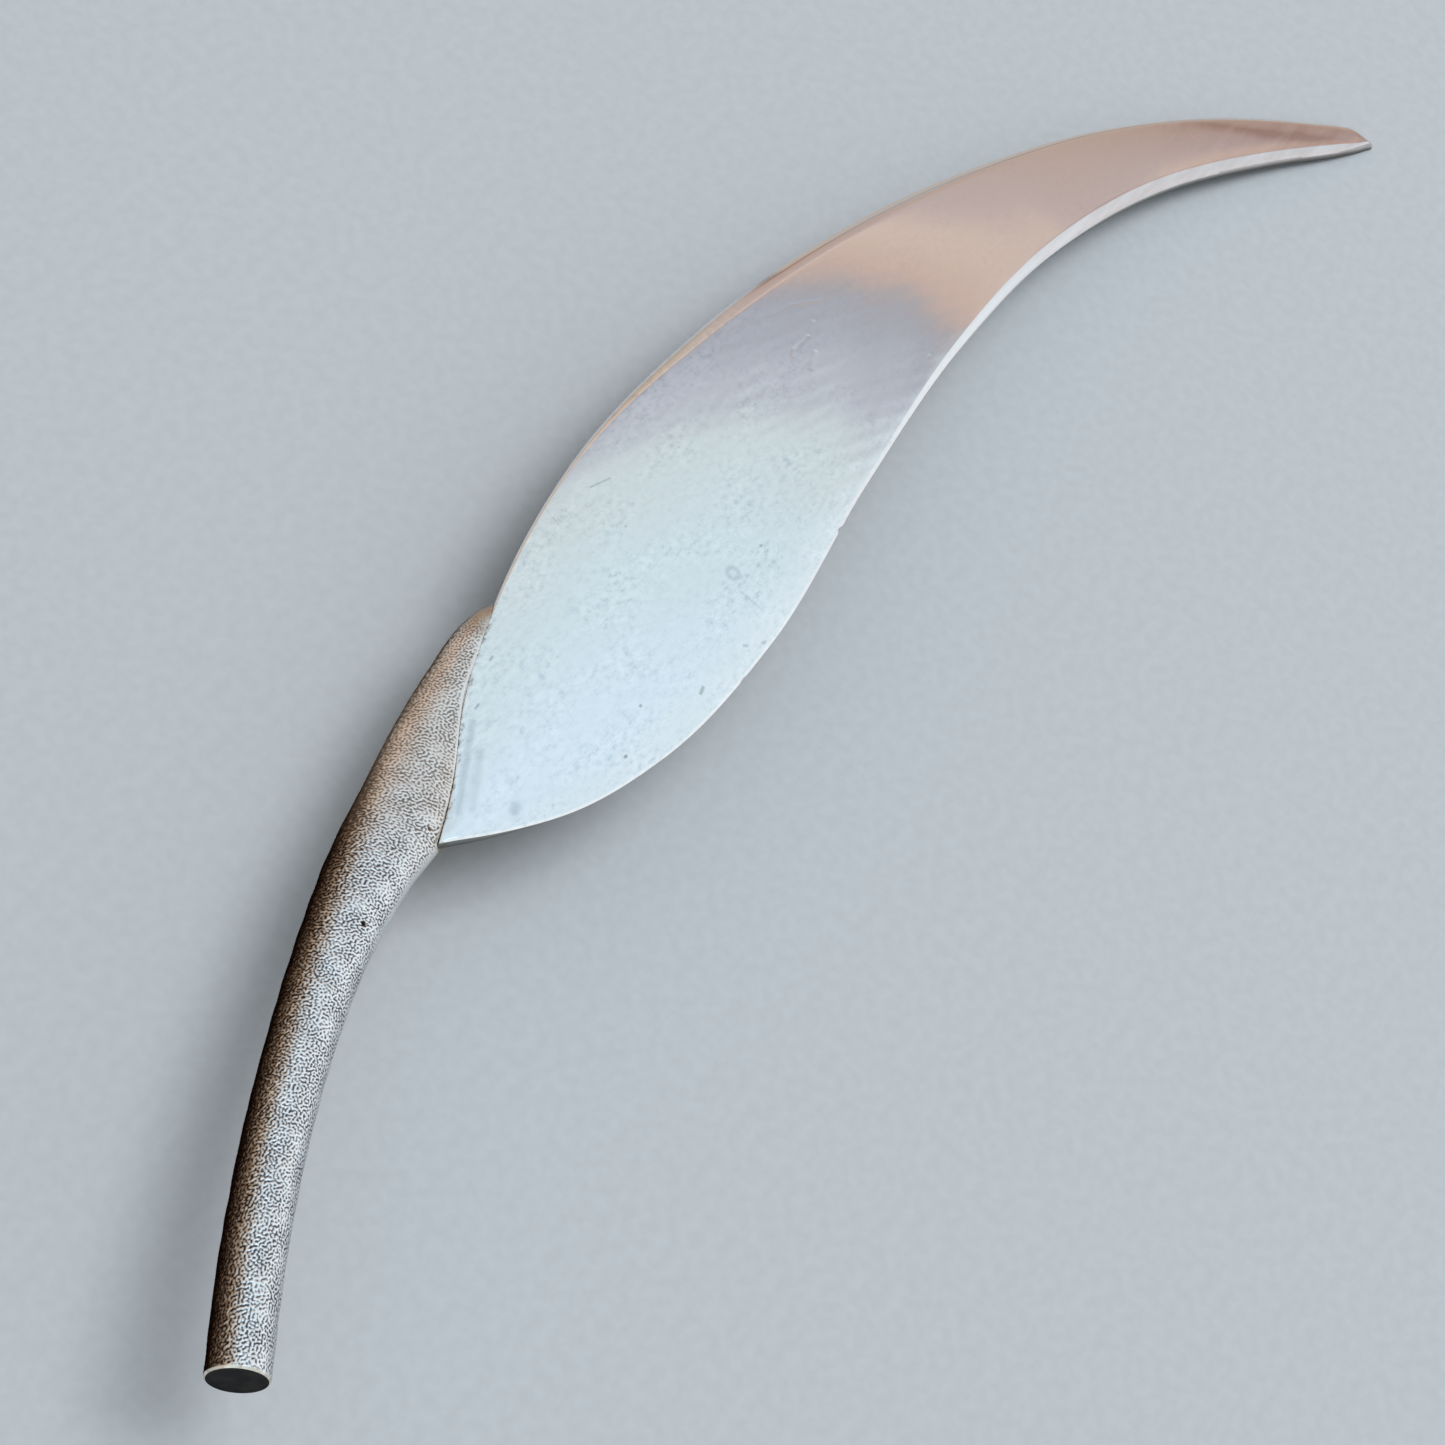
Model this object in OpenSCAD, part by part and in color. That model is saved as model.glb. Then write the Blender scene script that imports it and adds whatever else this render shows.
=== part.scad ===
// Leaf brooch: a silver leaf on a textured stem, with a pin on its back.
// It lies on the plane z = 0 as it does on a table: on the leaf's tip and on the feet of the pin's hinge and catch.
// +X runs from the stem's free end to the leaf's tip, +Y to the left, +Z up. All sizes are millimetres.

/* [Leaf] */
// Thickness of the leaf along its edges
leaf_edge = 0.7; // [0.5:0.05:0.9]
// How much thicker the leaf is along its middle where it is widest
leaf_crown = 0.4; // [0.2:0.05:0.6]
// Depth of the rounding along the leaf's upper edges
leaf_round = 0.25; // [0.1:0.05:0.35]

/* [Stem] */
// Thickness of the round stem at its free end
stem_end = 2.45; // [2.2:0.05:2.7]
// Width of the bright rim that is filed round the end face
stem_rim = 0.12; // [0.05:0.01:0.2]

/* [Joint between leaf and stem] */
// Open seam between the leaf's left edge and the stem's head
seam_gap = 0.1; // [0.06:0.01:0.2]
// Gap between the leaf's back and the tongue of the stem
lap_gap = 0.05; // [0.03:0.01:0.1]
// Thickness of the tongue that goes on under the leaf
tongue_t = 0.9; // [0.6:0.05:1.1]
// How far the tongue reaches along under the leaf
tongue_length = 5.4; // [4.4:0.2:6]
// How far the tongue's edge stands back from the leaf's right edge at the leaf's corner
tongue_inset = 0.35; // [0.2:0.05:0.6]

/* [Brooch pin] */
// Thickness of the pin wire
wire_d = 0.9; // [0.7:0.05:1]
// Height of the pin wire's middle above the table
wire_height = 1.15; // [1:0.05:1.3]
// Width of the hinge across the wire
hinge_width = 4.6; // [4:0.1:5.4]
// Width of the catch along the wire
catch_width = 2.2; // [1.8:0.1:2.8]
// Length of wire that sticks out past the catch, with its point
point_length = 2.4; // [2:0.1:3]

/* [Hidden] */

// The tables are measured from the middle of the brooch's length and from the line between its two ends.
// This step brings the middle of its box to the origin.
box_step = [0.41, -7.52, 0];

// Rows across the leaf: distance along, left edge, right edge, height of its back, width of the right edge's rounding
ALONG = 0;
LEFT = 1;
RIGHT = 2;
BACK = 3;
ROUND = 4;
leaf_rows = [
    [-23.9, 8.25, 8.25, 5.15, 0.15],
    [-21.5, 9.5, 6.75, 5.09, 0.15],
    [-19, 11.15, 5.48, 5.03, 0.2],
    [-14, 13.52, 4.27, 4.93, 0.2],
    [-6, 15.72, 4.25, 4.77, 0.2],
    [4, 16.32, 6.05, 4.45, 0.25],
    [14, 15.5, 7.42, 3.8, 0.35],
    [24, 13.3, 7.6, 2.68, 0.5],
    [33, 10.1, 5.93, 1.45, 0.6],
    [40, 6.15, 3, 0.6, 0.6],
    [44, 2.95, 0.88, 0.16, 0.5],
    [45.2, 1.82, 0.28, 0.04, 0.35],
    [45.75, 1.1, 0.02, 0.01, 0.25],
    [46, 0.4, -0.1, 0, 0.15]
];

// Rows along the stem: distance along, sideways, height of its middle, reach to the left and right, half its height
SIDE = 1;
MIDDLE = 2;
REACH_LEFT = 3;
REACH_RIGHT = 4;
HALF_HEIGHT = 5;
stem_rows = [
    [-46.1, -0.29, 7.1, 1, 1, 1],
    [-42, 2.43, 6.65, 1.01, 1.03, 1.01],
    [-38, 4.75, 6.2, 1.03, 1.06, 1.02],
    [-34, 6.75, 5.8, 1.08, 1.11, 1.04],
    [-30, 8.4, 5.45, 1.22, 1.22, 1.04],
    [-26.5, 9.6, 5.2, 1.38, 1.5, 0.96],
    [-23.5, 10.4, 5.02, 1.44, 1.8, 0.86],
    [-20.5, 11.35, 4.95, 1.38, 1.6, 0.8],
    [-17.5, 12.35, 4.92, 1.13, 1.4, 0.78],
    [-15.2, 13.2, 4.92, 0.74, 1.1, 0.75],
    [-14.2, 13.52, 4.92, 0.43, 0.7, 0.66],
    [-13.6, 13.7, 4.92, 0.15, 0.2, 0.3]
];
// The reaches and half heights above are shares of the stem's half thickness at its free end
stem_unit = stem_end / 2;
stem_start = stem_rows[0][ALONG];
stem_tip = stem_rows[len(stem_rows) - 1][ALONG];

// Where the middles of the pin's hinge and catch stand under the leaf
hinge_at = [-13.4, 8];
catch_at = [3.6, 13.4];
// Gap between the leaf's back and the plates of the hinge and catch
seat_gap = 0.06;

// How finely the shapes are cut into sections
leaf_sections = 64;
stem_sections = 72;
stem_sides = 28;
crown_points = 5;
round_points = 3;

// Smooth interpolation in a table: a curve through every row, with slopes taken from the neighbouring rows
function row_before(rows, x, i = 0) =
    i >= len(rows) - 2 || x < rows[i + 1][ALONG] ? i : row_before(rows, x, i + 1);
function rise(rows, column, i) =
    (rows[i + 1][column] - rows[i][column]) / (rows[i + 1][ALONG] - rows[i][ALONG]);
function inner_slope(rows, column, i) =
    let (before = rows[i][ALONG] - rows[i - 1][ALONG], after = rows[i + 1][ALONG] - rows[i][ALONG])
    (rise(rows, column, i - 1) * after + rise(rows, column, i) * before) / (before + after);
function slope(rows, column, i) =
    i == 0 ? 1.5 * rise(rows, column, 0) - 0.5 * inner_slope(rows, column, 1)
    : i == len(rows) - 1 ? 1.5 * rise(rows, column, i - 1) - 0.5 * inner_slope(rows, column, i - 1)
    : inner_slope(rows, column, i);
function smooth(rows, column, x) =
    let (
        i = row_before(rows, x),
        step = rows[i + 1][ALONG] - rows[i][ALONG],
        t = (x - rows[i][ALONG]) / step
    )
    (2 * t ^ 3 - 3 * t ^ 2 + 1) * rows[i][column]
    + (t ^ 3 - 2 * t ^ 2 + t) * step * slope(rows, column, i)
    + (3 * t ^ 2 - 2 * t ^ 3) * rows[i + 1][column]
    + (t ^ 3 - t ^ 2) * step * slope(rows, column, i + 1);

// Stations from one end to the other, closer together towards both ends
function stations(first, last, count) =
    [for (k = [0 : count]) first + (last - first) * (1 - cos(180 * k / count)) / 2];

// A closed skin over rings of equally many points. Seen from the first ring's side, each ring runs clockwise.
module skin(rings) {
    sides = len(rings[0]);
    last = len(rings) - 1;
    points = [for (ring = rings) each ring];
    walls = [
        for (k = [0 : last - 1], j = [0 : sides - 1])
        let (a = k * sides + j, b = k * sides + (j + 1) % sides)
        each [[a, b + sides, a + sides], [a, b, b + sides]]
    ];
    front = [for (j = [sides - 1 : -1 : 0]) j];
    rear = [for (j = [0 : sides - 1]) last * sides + j];
    polyhedron(points, concat([front], walls, [rear]), convexity = 6);
}

// Leaf. Its section has a flat back, thin edges, a low crown and a rounding along each upper edge.
// The base's point is cut off by corner_cut, because a section there has no width.
corner_cut = 0.06;
leaf_start = leaf_rows[0][ALONG] + corner_cut;
leaf_end = leaf_rows[len(leaf_rows) - 1][ALONG];
leaf_widest = 11.6;
// The roundings take up at most this share of the leaf's width each
most_rounding = 0.4;
// Over its last stretch the leaf's top is rounded down towards the tip
tip_stretch = 0.7;
tip_fall = 0.85;
function thickness(x) =
    let (past = max(0, x - leaf_end + tip_stretch) / tip_stretch)
    leaf_edge * sqrt(1 - tip_fall * past ^ 2);
function leaf_left(x) = smooth(leaf_rows, LEFT, x);
function leaf_right(x) = smooth(leaf_rows, RIGHT, x);
function leaf_back(x) = max(0, smooth(leaf_rows, BACK, x));
function leaf_width(x) = leaf_left(x) - leaf_right(x);
function crown_at(x, y) =
    let (half = leaf_width(x) / 2, off = (y - leaf_right(x) - half) / half)
    leaf_crown * (half * 2 / leaf_widest) * (1 - off ^ 2);
function leaf_ring(x) =
    let (
        left = leaf_left(x),
        right = leaf_right(x),
        back = leaf_back(x),
        most = most_rounding * (left - right),
        round_left = min(leaf_round, most),
        round_right = min(smooth(leaf_rows, ROUND, x), most),
        thick = thickness(x),
        depth = min(leaf_round, thick / 2),
        // Each rounding is a quarter of an ellipse, from the side face up to the crowned top
        top_right = [
            for (k = [0 : round_points])
            let (a = 90 * k / round_points, y = right + round_right * (1 - cos(a)))
            [x, y, back + thick + crown_at(x, y) - depth * (1 - sin(a))]
        ],
        top = [
            for (k = [1 : crown_points])
            let (y = right + round_right + (left - right - round_left - round_right) * k / (crown_points + 1))
            [x, y, back + thick + crown_at(x, y)]
        ],
        top_left = [
            for (k = [round_points : -1 : 0])
            let (a = 90 * k / round_points, y = left - round_left * (1 - cos(a)))
            [x, y, back + thick + crown_at(x, y) - depth * (1 - sin(a))]
        ]
    )
    concat([[x, right, back]], top_right, top, top_left, [[x, left, back]]);

module leaf_blade() {
    color([0.86, 0.89, 0.91])
    translate(box_step)
    skin([for (x = stations(leaf_start, leaf_end, leaf_sections)) leaf_ring(x)]);
}

// Room that the leaf takes out of the stem's head: everything above the leaf's back, right of its left edge
room_start = leaf_rows[0][ALONG] - seam_gap;
room_sections = 24;
module leaf_room() {
    past_head = stem_tip + 2.6;
    above = 9;
    aside = 2;
    skin([
        for (x = stations(room_start, past_head, room_sections))
        let (wall = leaf_left(x) + seam_gap, floor_z = leaf_back(x) - lap_gap)
        [[x, aside, floor_z], [x, aside, above], [x, wall, above], [x, wall, floor_z]]
    ]);
}

// Tongue of the stem under the leaf. Its edge starts near the leaf's corner and draws in from the leaf's right edge.
tongue_draw = 0.05;
tongue_sections = 12;
module tongue() {
    narrowest = 0.3;
    into_head = 0.4;
    skin([
        for (x = stations(room_start, room_start + tongue_length, tongue_sections))
        let (
            run = x - room_start,
            top = leaf_back(x) - lap_gap,
            low = top - tongue_t,
            right = leaf_right(x) + tongue_inset + tongue_draw * run ^ 2,
            left = max(right + narrowest, leaf_left(x) + into_head)
        )
        [[x, right, low], [x, right, top], [x, left, top], [x, left, low]]
    ]);
}

// Stem. Each ring stands square to the stem's own line.
function stem_middle(x) = [x, smooth(stem_rows, SIDE, x), smooth(stem_rows, MIDDLE, x)];
function stem_heading(x) =
    let (d = 0.05, ahead = stem_middle(x + d) - stem_middle(x - d))
    ahead / norm(ahead);
function stem_ring(x, share = 1, ahead = 0) =
    let (
        forward = stem_heading(x),
        sideways = [-forward[1], forward[0], 0] / norm([forward[0], forward[1]]),
        up = cross(forward, sideways),
        left = smooth(stem_rows, REACH_LEFT, x) * stem_unit * share,
        right = smooth(stem_rows, REACH_RIGHT, x) * stem_unit * share,
        half = smooth(stem_rows, HALF_HEIGHT, x) * stem_unit * share
    )
    [
        for (k = [0 : stem_sides - 1])
        let (a = -360 * k / stem_sides, reach = cos(a) > 0 ? left : right)
        stem_middle(x) + forward * ahead + sideways * cos(a) * reach + up * sin(a) * half
    ];

module stem() {
    rim_share = 1 - stem_rim / stem_unit;
    rings = [for (x = stations(stem_start, stem_tip, stem_sections)) stem_ring(x)];
    color([0.55, 0.53, 0.5])
    translate(box_step)
    difference() {
        union() {
            skin(concat([stem_ring(stem_start, rim_share, -stem_rim)], rings));
            tongue();
        }
        leaf_room();
    }
}

// Brooch pin: hinge, wire and catch in one, under the leaf's back
wire_turn = atan2(catch_at[1] - hinge_at[1], catch_at[0] - hinge_at[0]);
wire_span = norm(catch_at - hinge_at);
plate_t = 0.5;

module hinge(seat) {
    knuckle_r = 1.3;
    foot_cut = 0.15;
    plate_length = 3.4;
    web = 1.5;
    // A round knuckle, whose underside is cut flat where it stands on the table
    difference() {
        translate([0, 0, knuckle_r - foot_cut])
        rotate([90, 0, 0])
        cylinder(h = hinge_width, r = knuckle_r, center = true, $fn = 48);
        translate([-2 * knuckle_r, -hinge_width, -2 * foot_cut])
        cube([4 * knuckle_r, 2 * hinge_width, 2 * foot_cut]);
    }
    translate([-web / 2, -hinge_width / 2, knuckle_r])
    cube([web, hinge_width, seat - knuckle_r]);
    translate([-plate_length / 2, -hinge_width / 2, seat - plate_t])
    cube([plate_length, hinge_width, plate_t]);
}

module catch(seat) {
    hole_r = 0.75;
    sunk = 0.05;
    mouth = 1.1;
    plate_length = 3;
    plate_width = 3;
    neck = 1.2;
    // The wire lies sunk a little into the bottom of the hook's hole, and the hook's foot is flat on the table
    centre_z = wire_height - wire_d / 2 + sunk + hole_r;
    hook_r = centre_z + sunk;
    difference() {
        translate([0, 0, centre_z])
        rotate([0, 90, 0])
        cylinder(h = catch_width, r = hook_r, center = true, $fn = 48);
        translate([0, 0, centre_z])
        rotate([0, 90, 0])
        cylinder(h = catch_width + 1, r = hole_r, center = true, $fn = 48);
        translate([-catch_width, 0, centre_z])
        cube([2 * catch_width, 2 * hook_r, mouth]);
        translate([-catch_width, -2 * hook_r, -hook_r])
        cube([2 * catch_width, 4 * hook_r, hook_r]);
    }
    translate([-catch_width / 2, -neck / 2, centre_z + hole_r + sunk])
    cube([catch_width, neck, seat - centre_z - hole_r - sunk]);
    translate([-plate_length / 2, -plate_width / 2, seat - plate_t])
    cube([plate_length, plate_width, plate_t]);
}

module brooch_pin() {
    // The leaf's back falls towards its tip, so each plate is set by the back at the plate's far edge
    hinge_reach = 2.2;
    catch_reach = 1.8;
    taper = 1.8;
    blunt = 0.12;
    straight = wire_span + point_length - taper;
    color([0.75, 0.76, 0.77])
    translate(box_step)
    translate([hinge_at[0], hinge_at[1], 0])
    rotate([0, 0, wire_turn]) {
        hinge(leaf_back(hinge_at[0] + hinge_reach) - seat_gap);
        translate([wire_span, 0, 0])
        catch(leaf_back(catch_at[0] + catch_reach) - seat_gap);
        translate([0, 0, wire_height])
        rotate([0, 90, 0])
        cylinder(h = straight, d = wire_d, $fn = 32);
        translate([straight, 0, wire_height])
        rotate([0, 90, 0])
        cylinder(h = taper, d1 = wire_d, d2 = blunt, $fn = 32);
    }
}

leaf_blade();
stem();
brooch_pin();
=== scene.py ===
# A silver leaf brooch that lies on a pale table, seen from above its stem's free end.
import math
from functools import partial

import bmesh
import bpy
import numpy as np
from mathutils import Matrix, Vector


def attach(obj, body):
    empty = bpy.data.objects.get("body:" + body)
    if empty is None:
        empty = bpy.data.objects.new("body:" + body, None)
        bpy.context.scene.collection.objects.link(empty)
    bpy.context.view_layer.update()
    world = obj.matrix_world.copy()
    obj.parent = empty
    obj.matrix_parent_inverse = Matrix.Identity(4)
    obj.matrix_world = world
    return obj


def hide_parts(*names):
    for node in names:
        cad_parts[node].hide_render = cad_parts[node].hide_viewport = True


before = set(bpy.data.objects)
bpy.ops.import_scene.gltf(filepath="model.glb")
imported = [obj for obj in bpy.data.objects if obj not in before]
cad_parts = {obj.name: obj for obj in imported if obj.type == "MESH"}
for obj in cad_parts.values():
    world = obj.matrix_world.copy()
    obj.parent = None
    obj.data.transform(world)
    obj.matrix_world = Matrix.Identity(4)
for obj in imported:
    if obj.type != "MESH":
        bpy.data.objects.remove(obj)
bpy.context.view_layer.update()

mm = 0.001  # the shapes below are worked out in millimetres and stored in metres
boxStep = np.array([0.41, -7.52, 0.0])  # brings the tables' own frame to the middle of the brooch's box


def linearColour(code):
    # an sRGB hex value as the linear colour that shaders work with
    parts = [int(code[i:i + 2], 16) / 255 for i in (1, 3, 5)]
    return tuple(p / 12.92 if p <= 0.04045 else ((p + 0.055) / 1.055) ** 2.4 for p in parts) + (1.0,)


def setInputs(node, inputs):
    # values, or links from sockets and from nodes, which give their first output in use
    for key, value in inputs.items():
        if isinstance(value, bpy.types.Node):
            value = next(output for output in value.outputs if output.enabled)
        if isinstance(value, bpy.types.NodeSocket):
            node.id_data.links.new(value, node.inputs[key])
        else:
            node.inputs[key].default_value = value


def addNode(tree, kind, inputs=None, stops=None, **settings):
    # a node with its settings, its inputs and its ramp's stops
    node = tree.nodes.new(kind)
    for name, value in settings.items():
        setattr(node, name, value)
    setInputs(node, inputs or {})
    if stops:
        marks = node.color_ramp.elements
        while len(marks) < len(stops):
            marks.new(1.0)
        for mark, (place, code) in zip(marks, stops):
            mark.position = place
            mark.color = linearColour(code)
    return node


def addObject(name, data):
    item = bpy.data.objects.new(name, data)
    bpy.context.scene.collection.objects.link(item)
    return item


def newMaterial(name):
    # a material, the function that adds nodes to it, its shader, and the place on the object in mm
    material = bpy.data.materials.new(name)
    material.use_nodes = True
    material.node_tree.nodes.clear()
    add = partial(addNode, material.node_tree)
    shader = add("ShaderNodeBsdfPrincipled")
    add("ShaderNodeOutputMaterial", {"Surface": shader})
    place = add("ShaderNodeTexCoord").outputs["Object"]
    inMm = add("ShaderNodeVectorMath", {0: place, "Scale": 1 / mm}, operation="SCALE")
    return material, add, shader, inMm


# tables: a curve through every row, with slopes taken from the neighbouring rows
def alongRows(rows, column, x):
    x = np.asarray(x, float)
    knots, values = rows[:, 0], rows[:, column]
    steps = np.diff(knots)
    rises = np.diff(values) / steps
    slopes = np.empty(len(knots))
    slopes[1:-1] = (rises[:-1] * steps[1:] + rises[1:] * steps[:-1]) / (steps[:-1] + steps[1:])
    slopes[0] = 1.5 * rises[0] - 0.5 * slopes[1]
    slopes[-1] = 1.5 * rises[-1] - 0.5 * slopes[-2]
    i = np.clip(np.searchsorted(knots, x, side="right") - 1, 0, len(knots) - 2)
    t = (x - knots[i]) / steps[i]
    return ((2 * t**3 - 3 * t**2 + 1) * values[i] + (t**3 - 2 * t**2 + t) * steps[i] * slopes[i]
            + (3 * t**2 - 2 * t**3) * values[i + 1] + (t**3 - t**2) * steps[i] * slopes[i + 1])


def slopeAlong(rows, column, x, step=0.05):
    return (alongRows(rows, column, x + step) - alongRows(rows, column, x - step)) / (2 * step)


def ease(low, high, x):
    t = np.clip((x - low) / (high - low), 0, 1)
    return t * t * (3 - 2 * t)


def inAndOut(places, x):
    # comes in between the first two places and goes between the last two
    return ease(*places[:2], x) * (1 - ease(*places[2:], x))


def fadeTo(share, where):
    # 1, and down to a share of it where the second value is 1
    return 1 - (1 - share) * where


def hump(gap, width):
    # 1 in its middle and nearly 0 at twice its width
    return np.exp(-((gap / width) ** 2))


def meshFromRings(name, rings, faceSlots=None, capSlots=(0, 0)):
    # a closed skin over rings of equally many points, with a flat cap at each end
    count, sides = rings.shape[:2]
    points = (rings.reshape(-1, 3) + boxStep) * mm
    k, j = np.meshgrid(np.arange(count - 1), np.arange(sides), indexing="ij")
    a = (k * sides + j).ravel()
    b = (k * sides + (j + 1) % sides).ravel()
    faces = np.stack([a, b, b + sides, a + sides], 1).tolist()
    slots = [0] * len(faces) if faceSlots is None else np.repeat(faceSlots, sides).tolist()
    faces += [list(range(sides))[::-1], [(count - 1) * sides + s for s in range(sides)]]
    slots += list(capSlots)
    mesh = bpy.data.meshes.new(name)
    mesh.from_pydata(points.tolist(), [], faces)
    mesh.polygons.foreach_set("material_index", slots)
    work = bmesh.new()
    work.from_mesh(mesh)
    bmesh.ops.recalc_face_normals(work, faces=work.faces)
    work.to_mesh(mesh)
    work.free()
    return addObject(name, mesh)


def finishPiece(piece, materials, looks, sharpAngle, node):
    # attributes and materials on a piece that stands for a node of the frame
    for look, values in looks.items():
        layer = piece.data.attributes.new(look, "FLOAT", "POINT")
        layer.data.foreach_set("value", values.ravel().astype(np.float32))
    for material in materials:
        piece.data.materials.append(material)
    piece.data.shade_smooth()
    piece.data.set_sharp_from_angle(angle=math.radians(sharpAngle))
    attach(piece, "root")
    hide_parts(node)
    print(piece.name + ":", len(piece.data.polygons), "faces")


def pointingTo(bearing, above):
    # the direction at a bearing and above the table, in degrees
    bearing, above = math.radians(bearing), math.radians(above)
    level = math.cos(above)
    return Vector((level * math.cos(bearing), level * math.sin(bearing), math.sin(above)))


# camera: over the stem's free end, looking along the brooch, rolled so that it lies across the picture
cameraView = {
    "aim": (-6.69, -3.71, 0.0),  # mm, the point of the table in the middle of the picture
    "distance": 148.2,  # mm
    "above": 57.0,  # degrees above the table
    "bearing": 6.36,  # degrees to the left of the brooch's length
    "roll": 36.0,  # degrees
    "fieldOfView": 24.0,  # degrees, of the square picture
}


def addCamera():
    ahead = pointingTo(cameraView["bearing"], -cameraView["above"])
    roll = math.radians(cameraView["roll"])
    level = ahead.cross(Vector((0, 0, 1))).normalized()
    upright = level.cross(ahead)
    right = level * math.cos(roll) + upright * math.sin(roll)
    up = upright * math.cos(roll) - level * math.sin(roll)
    data = bpy.data.cameras.new("camera")
    data.angle = math.radians(cameraView["fieldOfView"])
    data.clip_start = 0.005
    camera = addObject("camera", data)
    turn = Matrix((right, up, -ahead)).transposed().to_4x4()
    place = (Vector(cameraView["aim"]) - ahead * cameraView["distance"]) * mm
    camera.matrix_world = Matrix.Translation(place) @ turn
    bpy.context.scene.camera = camera


# light: soft bands all round, bright and cold above, lilac and peach ahead, browner left and pale right
skyLight = {
    # how high in the room, as height over distance to the wall ahead; colour
    "ahead": [
        (0.00, "#bba898"), (0.47, "#b7a197"), (0.62, "#bbaaa7"), (0.67, "#d0bcb0"), (0.77, "#c7ada2"),
        (0.815, "#a9a4a6"), (0.85, "#a4a6b0"), (1.00, "#b8bcc6"), (1.08, "#cbd6d9"), (1.25, "#cddde4"),
        (1.70, "#d3e5f2"),
    ],
    # height above the horizon, as its sine; colour
    "left": [(0, "#b5a797"), (0.3, "#bfae9e"), (0.45, "#cebbaa"), (0.6, "#d2c1b2"), (0.72, "#c6c5c4"),
             (0.84, "#c8d6de"), (1, "#cfe2ee")],
    "right": [(0, "#e2eaf0"), (0.26, "#eaf1f6"), (0.64, "#e0ebf2"), (1, "#cfe2ee")],
    "tallest": 2.0,  # where the ramp for the wall ahead ends
    "wallBearing": 9.0,  # degrees, the direction square to the wall ahead
    "railHeight": 0.83, "converge": 1.2, "leastSpread": 0.5,  # its bands draw together towards the left
    # middle of each side of the room as a bearing in degrees, and the cosines where it fades in
    "aheadMiddle": 18.5, "aheadFade": (0.853, 0.917),
    "leftMiddle": 98.0, "leftFade": (0.5, 0.669),
    "strength": 1.06,
    "ceilingFade": (0.93, 0.985), "ceilingExtra": 0.9,  # the ceiling overhead is brighter by this share
    "backdrop": "#bfc3c7",
}


def addSky():
    world = bpy.data.worlds.new("studio")
    world.use_nodes = True
    bpy.context.scene.world = world
    world.node_tree.nodes.clear()
    add = partial(addNode, world.node_tree)

    def facing(direction, bearing):
        # the cosine of the angle between a direction and a bearing
        return add("ShaderNodeVectorMath", {0: direction, 1: pointingTo(bearing, 0)},
                   operation="DOT_PRODUCT")

    towards = add("ShaderNodeTexCoord").outputs["Generated"]
    rise = add("ShaderNodeSeparateXYZ", {0: towards}).outputs["Z"]
    level = add("ShaderNodeVectorMath", {0: towards, 1: (1, 1, 0)}, operation="MULTIPLY")
    level = add("ShaderNodeVectorMath", {0: level}, operation="NORMALIZE")

    # the place on the wall ahead, in shares of the distance to it
    bearing, rail = skyLight["wallBearing"], skyLight["railHeight"]
    distance = add("ShaderNodeMath", {0: facing(towards, bearing), 1: 0.05}, operation="MAXIMUM")
    aside = add("ShaderNodeMath", {0: facing(towards, bearing + 90), 1: distance}, operation="DIVIDE")
    spread = add("ShaderNodeMath", {0: aside, 1: -skyLight["converge"], 2: 1.0}, operation="MULTIPLY_ADD")
    spread = add("ShaderNodeMath", {0: spread, 1: skyLight["leastSpread"]}, operation="MAXIMUM")
    onWall = rise
    for operation, value in (("DIVIDE", distance), ("SUBTRACT", rail), ("MULTIPLY", spread), ("ADD", rail),
                             ("DIVIDE", skyLight["tallest"])):
        onWall = add("ShaderNodeMath", {0: onWall, 1: value}, operation=operation)
    wall = [(place / skyLight["tallest"], code) for place, code in skyLight["ahead"]]

    colour = add("ShaderNodeValToRGB", {0: rise}, stops=skyLight["right"])
    for side, place, stops in (("left", rise, skyLight["left"]), ("ahead", onWall, wall)):
        low, high = skyLight[side + "Fade"]
        share = facing(level, skyLight[side + "Middle"])
        share = add("ShaderNodeMapRange", {0: share, "From Min": low, "From Max": high},
                    interpolation_type="SMOOTHSTEP")
        ramp = add("ShaderNodeValToRGB", {0: place}, stops=stops)
        colour = add("ShaderNodeMix", {0: share, 6: colour, 7: ramp}, data_type="RGBA")
    low, high = skyLight["ceilingFade"]
    strength = skyLight["strength"]
    strength = add("ShaderNodeMapRange",
                   {0: rise, "From Min": low, "From Max": high, "To Min": strength,
                    "To Max": strength * (1 + skyLight["ceilingExtra"])}, interpolation_type="SMOOTHSTEP")
    lit = add("ShaderNodeBackground", {"Color": colour, "Strength": strength})
    plain = add("ShaderNodeBackground", {"Color": linearColour(skyLight["backdrop"])})
    seen = add("ShaderNodeLightPath").outputs["Is Camera Ray"]
    both = add("ShaderNodeMixShader", {0: seen, 1: lit, 2: plain})
    add("ShaderNodeOutputWorld", {"Surface": both})


# overhead, it only casts the shadows: the silver mirrors the room and not this box
softBox = {
    "bearing": -40.0, "above": 74.0,  # degrees
    "distance": 0.8, "size": 0.45,  # m
    "power": 6.0, "colour": "#f4f8fc",
}


def addSoftBox():
    away = pointingTo(softBox["bearing"], softBox["above"])
    data = bpy.data.lights.new("softBox", "AREA")
    data.size = softBox["size"]
    data.energy = softBox["power"]
    data.color = linearColour(softBox["colour"])[:3]
    box = addObject("softBox", data)
    box.location = away * softBox["distance"]
    box.rotation_mode = "QUATERNION"
    box.rotation_quaternion = away.to_track_quat("Z", "Y")
    box.visible_glossy = False


table = {
    "width": 4.0,  # m
    "peel": 0.55, "peelDepth": 0.02,  # mm across a bump of its paint, and mm deep
}


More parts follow.
